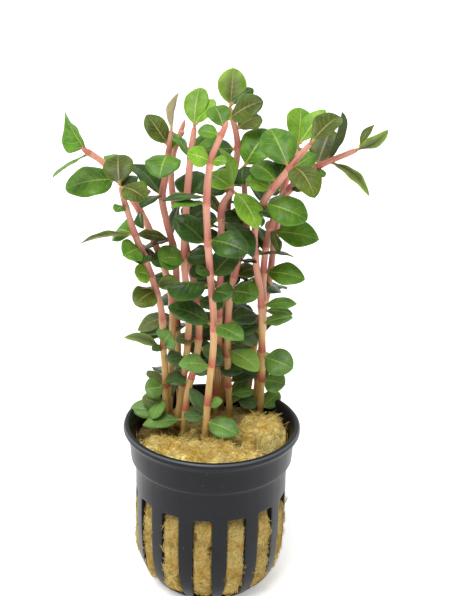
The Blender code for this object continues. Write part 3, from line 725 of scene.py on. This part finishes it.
def wool_surface():
    """The whole plug as rings of points from its foot up its side and over its top."""
    angles = [SLOT_FIRST + math.tau * column / WOOL_COLUMNS for column in range(WOOL_COLUMNS)]
    rings = []
    for height in np.arange(WOOL_FOOT, WOOL_EDGE_TOP, WOOL_STEP):
        rings.append([wool_side(angle, float(height)) for angle in angles])
    for share in np.linspace(1.0, 0.02, WOOL_TOP_RINGS):
        ring = []
        for angle in angles:
            edge = inner_radius(WOOL_EDGE_TOP) - WOOL_GAP
            edge -= 0.5 + 0.5 * noise.noise(Vector((math.cos(angle) * 4, math.sin(angle) * 4, 5.0)))
            x, y = edge * share * math.cos(angle), edge * share * math.sin(angle)
            roll = 1.0 - smoothstep(share, 0.86, 1.0)
            top = wool_top(x, y)
            ring.append((x, y, WOOL_EDGE_TOP + 0.3 + (top - WOOL_EDGE_TOP - 0.3) * (0.5 + 0.5 * roll)))
        rings.append(ring)
    return rings


def make_wool(rings, side, name, material):
    """One pad of the plug: its part on one side of the split."""
    columns = len(rings[0])
    bm = bmesh.new()
    tint = bm.verts.layers.float_color.new("look")
    grid = []
    for ring in rings:
        row = []
        for x, y, z in ring:
            vert = bm.verts.new((x * MM, y * MM, z * MM))
            tone = 0.5 + 0.5 * fluff(x, y, z, 6.0, 12.0)
            # Painted shade, kept as the second look value: darker in the low bed among the stems, in the
            # hollows and dips of the top, and on the side near the tops of the slots, under the collar
            painted_shade = 0.0
            if z > WOOL_EDGE_TOP - 4:
                painted_shade = 0.75 * (1.0 - smoothstep(z, WOOL_BED - 1.0, WOOL_BED + 1.6))
            for depth, nearness in hollows(x, y) if z > 40 else ():
                painted_shade = max(painted_shade, min(1.0, depth / 3.0) * nearness)
            collar_shade = 0.35 * smoothstep(z, 24.0, 30.0) * (1.0 - smoothstep(z, 38.0, 42.0))
            aside = 0.0 if z > WOOL_EDGE_TOP else 1.0
            if z > WOOL_EDGE_TOP:
                torn = -fluff(x, y, 0.0, 4.5, 2.0) - 0.6 * fluff(x, y, 0.0, 1.6, 6.0)
                painted_shade = max(painted_shade, 0.8 * smoothstep(torn, 0.3, 0.9))
            vert[tint] = (min(1.0, max(0.0, tone)), min(1.0, painted_shade + collar_shade), aside, 1.0)
            row.append(vert)
        grid.append(row)
    for low, high in zip(grid[:-1], grid[1:]):
        for column in range(columns):
            after = (column + 1) % columns
            bm.faces.new((low[column], low[after], high[after], high[column]))
    bm.faces.new(list(reversed(grid[0])))
    bm.faces.new(grid[-1])
    normal = Vector((*WOOL_SPLIT_BACK, 0.0)) * side
    point = Vector((*WOOL_SPLIT_POINT, 0.0)) * MM + normal * WOOL_SPLIT_GAP / 2 * MM
    everything = bm.verts[:] + bm.edges[:] + bm.faces[:]
    cut = bmesh.ops.bisect_plane(bm, geom=everything, plane_co=point, plane_no=normal, clear_inner=True)
    seam = [item for item in cut["geom_cut"] if isinstance(item, bmesh.types.BMEdge)]
    bmesh.ops.contextual_create(bm, geom=seam)
    bmesh.ops.recalc_face_normals(bm, faces=bm.faces[:])
    return link_bmesh(name, bm, material)


def tube_faces(rings, sides):
    """The faces of a closed tube: quads between the rings of points and a cap at each end."""
    faces = [tuple(reversed(range(sides))), tuple(range((rings - 1) * sides, rings * sides))]
    for index in range(rings - 1):
        for corner in range(sides):
            after = (corner + 1) % sides
            faces.append((index * sides + corner, index * sides + after,
                          (index + 1) * sides + after, (index + 1) * sides + corner))
    return faces


def strand(start, direction, normal, length, radius, rng):
    """One fibre: a thin three-sided tube that leaves the surface a little in an arc."""
    bend = normal.cross(direction) * rng.uniform(-0.35, 0.35) * length
    rise = rng.uniform(0.02, 0.16) * length
    lift = rng.uniform(-0.02, 0.12) * length
    path = []
    for index in range(FIBRE_STEPS + 1):
        share = index / FIBRE_STEPS
        path.append(start + direction * (share * length) + bend * share * share
                    + normal * (rise * 4 * share * (1 - share) + lift * share))
    points = []
    for index, place in enumerate(path):
        ahead = (path[min(index + 1, FIBRE_STEPS)] - path[max(index - 1, 0)]).normalized()
        side = ahead.cross(normal).normalized()
        up = side.cross(ahead)
        thin = radius * (0.5 if index in (0, FIBRE_STEPS) else 1.0)
        for corner in range(3):
            angle = math.tau * corner / 3
            points.append(place + side * math.cos(angle) * thin + up * math.sin(angle) * thin)
    return points


def make_fibres(name, pad, count, material, seed):
    """Loose rockwool fibres over a pad's top and where it shows between the bars."""
    rng = random.Random(seed)
    mesh = pad.data
    places = []
    tints = mesh.color_attributes["look"].data
    for vert in mesh.vertices:
        x, y, z = vert.co / MM
        on_top = z > WOOL_EDGE_TOP - 0.2
        offset = slot_offset(math.atan2(y, x))
        shows = z < 31 and abs(math.hypot(x, y) * math.sin(offset)) < SLOT_WIDTH / 2 - 0.3
        if (on_top or shows) and abs(split_distance(x, y)) > 0.5:
            # Each place keeps the pad's painted shade, its second look value
            places.append((vert.co / MM, vert.normal.copy(), on_top, tints[vert.index].color[1]))
    pattern = tube_faces(FIBRE_STEPS + 1, 3)
    points, faces, looks = [], [], []
    for _ in range(count):
        place, normal, on_top, deep = rng.choice(places)
        free = Vector((rng.gauss(0, 1), rng.gauss(0, 1), rng.gauss(0, 0.4 if on_top else 1.6)))
        swirl = noise.noise_vector(place / 6.0) * (1.6 if on_top else 0.6)
        direction = free * 0.6 + swirl
        direction = (direction - normal * direction.dot(normal)).normalized()
        length = rng.uniform(1.0, 3.4) if on_top else rng.uniform(0.8, 2.4)
        if on_top and rng.random() < 0.05:
            direction = (direction + normal * rng.uniform(0.5, 1.4)).normalized()
        fibre = strand(place + normal * 0.05, direction, normal, length, rng.uniform(0.035, 0.075), rng)
        if on_top and any(math.hypot(*point.xy) > inner_radius(point.z) - 0.15 for point in fibre):
            continue
        first = len(points)
        points += fibre
        faces += [tuple(first + corner for corner in face) for face in pattern]
        tone = min(1.0, max(0.0, rng.gauss(0.55, 0.22)))
        # Fibres on the top take on the pad's painted shade where they lie, a little weaker
        look = (tone, deep * 0.8, 0.0, 1.0) if on_top else (tone, 0.0, 0.7, 1.0)
        looks += [look] * len(fibre)
    piece = make_piece(name, points, faces, material, looks)
    register(piece, "wool")


def make_rockwool(material):
    rings = wool_surface()
    for name, side, count, seed in WOOL_PADS:
        pad = make_wool(rings, side, name + "_pad", material)
        register(pad, "wool", name)
        make_fibres(name + "_fibres", pad, count, material, seed)


def smooth_route(points, samples):
    """A smooth curve through the points, as evenly spaced positions along its parameter."""
    path = [Vector(point) for point in points]
    padded = [path[0] * 2 - path[1]] + path + [path[-1] * 2 - path[-2]]
    route = []
    for index in range(samples):
        at = index / (samples - 1) * (len(path) - 1)
        part = min(int(at), len(path) - 2)
        t = at - part
        a, b, c, d = padded[part:part + 4]
        place = b * 2 + (c - a) * t + (a * 2 - b * 5 + c * 4 - d) * t ** 2
        place += (b * 3 - a - c * 3 + d) * t ** 3
        route.append(place / 2)
    return route


def stem_point(number, height):
    """Where the stem's axis is at a height."""
    return min(smooth_route(STEMS[number], 80), key=lambda place: abs(place.z - height))


def node_heights(number):
    """The heights of a stem's nodes: where its leaves are, with more where a gap between them is long."""
    heights = [row[1] for row in LEAVES if int(row[0][:2]) == number]
    heights += [row[1] for rows in SMALL_LEAVES.values() for row in rows if row[0] == number]
    low, high = STEMS[number][0][2], STEMS[number][-1][2]
    nodes = [low - 4.0]
    for height in sorted(heights) + [high + 3.0]:
        gap = height - nodes[-1]
        extra = int(gap // NODE_GAP_MOST)
        for _ in range(extra):
            nodes.append(nodes[-1] + gap / (extra + 1))
        if height - nodes[-1] > (NODE_GAP_LOW if height < NODE_LOW_TOP else NODE_GAP_HIGH):
            nodes.append(height)
    return nodes


def sweep(route, radii, sides):
    """Points and faces of a closed round tube along the route."""
    side = Vector((1.0, 0.0, 0.0))
    points = []
    last = len(route) - 1
    for index, place in enumerate(route):
        ahead = (route[min(index + 1, last)] - route[max(index - 1, 0)]).normalized()
        side = (side - ahead * side.dot(ahead)).normalized()
        up = ahead.cross(side)
        for corner in range(sides):
            angle = math.tau * corner / sides
            points.append(place + (side * math.cos(angle) + up * math.sin(angle)) * radii[index])
    return points, tube_faces(len(route), sides)


def make_stem(number, material):
    """A stem with swollen nodes, a thin scar ring at each and a rounded tip."""
    rng = random.Random(number)
    sides = 14
    foot = Vector(STEMS[number][0])
    route = smooth_route(STEMS[number], 130)
    route = [foot - Vector((0, 0, 3.0)), foot - Vector((0, 0, 1.5))] + route
    nodes = node_heights(number)
    own = rng.random()
    radii, looks = [], []
    for index, place in enumerate(route):
        above = max((height for height in nodes if height <= place.z), default=nodes[0])
        below = min((height for height in nodes if height > place.z), default=above + 12.0)
        phase = (place.z - above) / max(1.0, below - above)
        near = min(abs(place.z - above), abs(place.z - below))
        left = (len(route) - 1 - index) / 6
        taper = 1.0 - 0.22 * smoothstep(index / len(route), 0.7, 1.0)
        swell = 0.14 * math.exp(-(near / 0.9) ** 2)
        waist = 0.02 * math.sin(place.z * 0.9 + own * 6)
        radius = (STEM_RADIUS + swell + waist) * taper
        radii.append(radius * (math.sqrt(max(0.02, 1 - (1 - left) ** 2)) if left < 1 else 1.0))
        ring = math.exp(-(near / 0.32) ** 2)
        looks += [(phase, (place.z - STEM_LOOK_FOOT) / STEM_LOOK_SPAN, ring, own)] * sides
    points, faces = sweep(route, radii, sides)
    stem = make_piece("rotala_stem_%02d" % number, points, faces, material, looks)
    register(stem, "stem", "stem_%02d" % number)


def make_shoots(material):
    """Short side shoots and thin stems behind the others."""
    for index, (points, radius) in enumerate(SHOOTS):
        route = smooth_route(points, 40)
        sides = 10
        radii = [radius * (1.0 + 0.18 * math.exp(-((place.z % 9.0 - 4.5) / 0.8) ** 2)) for place in route]
        radii[-1] *= 0.4
        looks = []
        for place in route:
            phase = (place.z % 9.0) / 9.0
            ring = math.exp(-((place.z % 9.0 - 4.5) / 0.35) ** 2)
            looks += [(phase, (place.z - STEM_LOOK_FOOT) / STEM_LOOK_SPAN, ring, 0.4)] * sides
        shape, faces = sweep(route, radii, sides)
        shoot = make_piece("side_shoot_%d" % (index + 1), shape, faces, material, looks)
        register(shoot, "stem")


def leaf_frame(azimuth, pitch, turn):
    """The midrib's direction, the sideways direction and the upper side's normal."""
    az = math.radians(azimuth)
    up = math.radians(pitch)
    along = Vector((math.cos(az) * math.cos(up), math.sin(az) * math.cos(up), math.sin(up)))
    normal = (Vector((0.0, 0.0, 1.0)) - along * along.z).normalized()
    normal = Matrix.Rotation(math.radians(turn), 3, along) @ normal
    return along, normal.cross(along), normal


def leaf_shape(row, tint, long_cells, wide_cells, rng, outline=None):
    """A blade's points, faces, UVs and look colours, from a row that begins with its stem."""
    stem, height, azimuth, pitch, length, width, turn, *lifts = row
    arch, fold = lifts or USUAL_LIFTS
    base = np.array(stem_point(stem, height))
    along, side, normal = (np.array(axis) for axis in leaf_frame(azimuth, pitch, turn))
    lift = math.radians(fold)
    start = 0.6
    share, across = np.meshgrid(np.linspace(0, 1, long_cells + 1), np.linspace(-1, 1, wide_cells + 1),
                                indexing="ij")
    blade = np.clip((share - PETIOLE_SHARE) / (1 - PETIOLE_SHARE), 0.0, 0.999)
    roundness = min(0.82, max(0.5, 1.15 - 0.85 * width / length))
    peak, power = outline or (BLADE_PEAK * rng.uniform(0.94, 1.06), roundness)
    swell = np.sin(np.pi * blade ** peak) ** power
    petiole = PETIOLE_HALF_WIDTH * (1 - blade) ** 0.3
    half = (petiole ** 4 + (width / 2 * swell) ** 4) ** 0.25
    reach = half * across
    out = np.abs(across)
    phase = rng.uniform(0, math.tau)
    rise = arch * 4 * share * (1 - share)
    rise += (np.sqrt(reach ** 2 + 0.16) - 0.4) * math.sin(lift)
    rise -= rng.uniform(0.1, 0.2) * half * out ** 3
    rise -= rng.uniform(0.02, 0.07) * length * share ** 4
    ripple = np.sin(2 * np.pi * share * rng.uniform(1.6, 2.6) + phase + across)
    rise += 0.032 * width * out ** 2 * swell * ripple
    veins = (share - VEIN_LEAN * out ** 1.3) * VEIN_BEATS
    puff = (0.5 + 0.5 * np.cos(2 * np.pi * veins)) * (1 - out ** 2) * swell
    rise += 0.012 * width * puff
    groove = np.exp(-(reach / 0.42) ** 2) * swell
    sweep_side = rng.uniform(-0.05, 0.05) * length * share ** 2
    thick = MARGIN_THICKNESS + BLADE_THICKNESS * (1 - out ** 2) * np.clip(blade * 6, 0, 1)
    stalk = PETIOLE_THICKNESS * np.sqrt(1 - 0.8 * out ** 2) * (1 - np.clip(blade * 5, 0, 1))
    thick = np.maximum(thick, stalk)
    middle = (base + along * (start + (length - start) * share)[..., None]
              + side * (reach * math.cos(lift) + sweep_side)[..., None])
    top = middle + normal * (rise + thick / 2 - 0.16 * groove)[..., None]
    low = middle + normal * (rise - thick / 2 - 0.26 * groove)[..., None]
    points = np.concatenate([top.reshape(-1, 3), low.reshape(-1, 3)])
    columns = wide_cells + 1
    size = columns * (long_cells + 1)
    faces = []
    for i in range(long_cells):
        for j in range(wide_cells):
            a = i * columns + j
            faces.append((a, a + columns, a + columns + 1, a + 1))
            faces.append((a + size, a + 1 + size, a + columns + 1 + size, a + columns + size))
    rim = [i * columns + j for i, j in border(0, long_cells, 0, wide_cells)]
    for a, b in zip(rim, rim[1:] + rim[:1]):
        faces.append((a, b, b + size, a + size))
    uv = np.stack([share.ravel(), (across.ravel() + 1) / 2], axis=1)
    blush = FLUSH[tint] * np.exp(-(out / 0.68) ** 2) * (1 - 0.7 * share ** 3) * rng.uniform(0.8, 1.1)
    tone = rng.uniform(0.3, 0.7)
    looks = np.ones((2 * size, 4))
    looks[:, 0] = tone
    looks[:, 1] = np.tile(np.clip(blush.ravel(), 0, 1), 2)
    looks[:size, 2] = 0.0
    looks[size:, 2] = 1.0
    return points, faces, np.concatenate([uv, uv]), looks


def make_leaves(materials):
    """The named leaves, each in place of its CAD node."""
    for name, *row, tint in LEAVES:
        rng = random.Random("leaf_" + name)
        row = (int(name[:2]), *row)
        points, faces, uvs, looks = leaf_shape(row, tint, *LEAF_CELLS, rng, BLADE_SHAPES.get(name))
        blade = make_piece("blade_" + name, points, faces, materials[tint], looks, uvs)
        register(blade, "leaf_" + tint, "leaf_" + name)


def rear_leaves():
    """Rows like SMALL_LEAVES for the back of the bunch: opposite pairs at nodes up the rear stems."""
    rng = random.Random(REAR_SEED)
    rows = {tint: [] for tint in TINTS}
    for stem, (low, high) in REAR_RANGES.items():
        height = low + rng.uniform(0.0, 4.0)
        while height < high:
            aim = rng.uniform(65.0, 115.0) + REAR_TURNS.get(stem, 0.0)
            for azimuth in (aim - REAR_SPREAD, aim + REAR_SPREAD):
                length = rng.uniform(7.5, 10.0)
                row = (stem, height, azimuth, rng.uniform(-15.0, 30.0), length, length * REAR_WIDTH,
                       rng.uniform(-35.0, 35.0), REAR_RISE, REAR_LIFT)
                rows[rng.choice(REAR_TINTS)].append(row)
            height += rng.uniform(10.0, 15.0)
    return rows


def make_small_leaves(materials):
    """The smaller leaves, joined by tint."""
    rng = random.Random(SMALL_SEED)
    rear = rear_leaves()
    for tint, material in materials.items():
        points, faces, uvs, looks = [], [], [], []
        first = 0
        for row in SMALL_LEAVES[tint] + rear[tint]:
            shape = leaf_shape(row, tint, *SMALL_CELLS, rng)
            points.append(shape[0])
            faces += [tuple(corner + first for corner in face) for face in shape[1]]
            uvs.append(shape[2])
            looks.append(shape[3])
            first += len(shape[0])
        piece = make_piece("small_leaves_" + tint, np.concatenate(points), faces, material,
                           np.concatenate(looks), np.concatenate(uvs))
        register(piece, "leaf_" + tint)


def make_floor():
    """A plain pale floor, large enough to fill the picture."""
    bm = bmesh.new()
    bmesh.ops.create_circle(bm, cap_ends=True, segments=96, radius=FLOOR_RADIUS)
    shader = make_shader("floor", roughness=0.9, specular_ior_level=0.0, base_color=FLOOR_COLOUR,
                         emission_color=WHITE, emission_strength=FLOOR_GLOW)
    floor = link_bmesh("floor", bm, shader.owner)


def make_light():
    """A white room, dimmer on the camera's side, with one soft light from above and the left."""
    room = Nodes(bpy.data.worlds.new("studio"), "Background")
    room.last.inputs["Color"].default_value = WHITE
    direction = room.axes(room.node("ShaderNodeTexCoord")["Generated"])
    room.put(room.last.inputs["Strength"], room.ramp(direction["Y"], *ROOM_FADE))
    bpy.context.scene.world = room.owner
    sun = bpy.data.lights.new("softbox", "SUN")
    sun.energy = SUN_STRENGTH
    sun.angle = math.radians(SUN_SPREAD)
    lamp = link("softbox", sun)
    lamp.rotation_euler = [math.radians(turn) for turn in SUN_TURNS]
    bpy.context.scene.view_settings.view_transform = "Standard"


def make_camera():
    data = bpy.data.cameras.new("camera")
    data.sensor_fit = "VERTICAL"
    data.sensor_height = SENSOR
    data.lens = FOCAL_PIXELS / IMAGE_HEIGHT * SENSOR
    camera = link("camera", data)
    turn = Matrix.Identity(4)
    for degrees, axis in ((CAMERA_YAW, "Z"), (90.0 + CAMERA_PITCH, "X"), (CAMERA_ROLL, "Z")):
        turn = turn @ Matrix.Rotation(math.radians(degrees), 4, axis)
    camera.matrix_world = Matrix.Translation(Vector(CAMERA_PLACE) * MM) @ turn
    bpy.context.scene.camera = camera


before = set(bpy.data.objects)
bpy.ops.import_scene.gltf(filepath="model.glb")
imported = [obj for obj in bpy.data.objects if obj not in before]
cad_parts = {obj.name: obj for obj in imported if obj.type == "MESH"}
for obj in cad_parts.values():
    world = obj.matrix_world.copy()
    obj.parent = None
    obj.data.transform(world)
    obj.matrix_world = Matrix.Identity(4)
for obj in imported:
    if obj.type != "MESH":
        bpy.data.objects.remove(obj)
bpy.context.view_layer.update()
noise.seed_set(SWIRL_SEED)
make_camera()
make_light()
make_floor()
make_pot(pot_material())
make_rockwool(wool_material())
stem_finish = stem_material()
for stem_number in STEMS:
    make_stem(stem_number, stem_finish)
make_shoots(stem_finish)
leaf_materials = {tint: leaf_material(tint) for tint in TINTS}
make_leaves(leaf_materials)
make_small_leaves(leaf_materials)
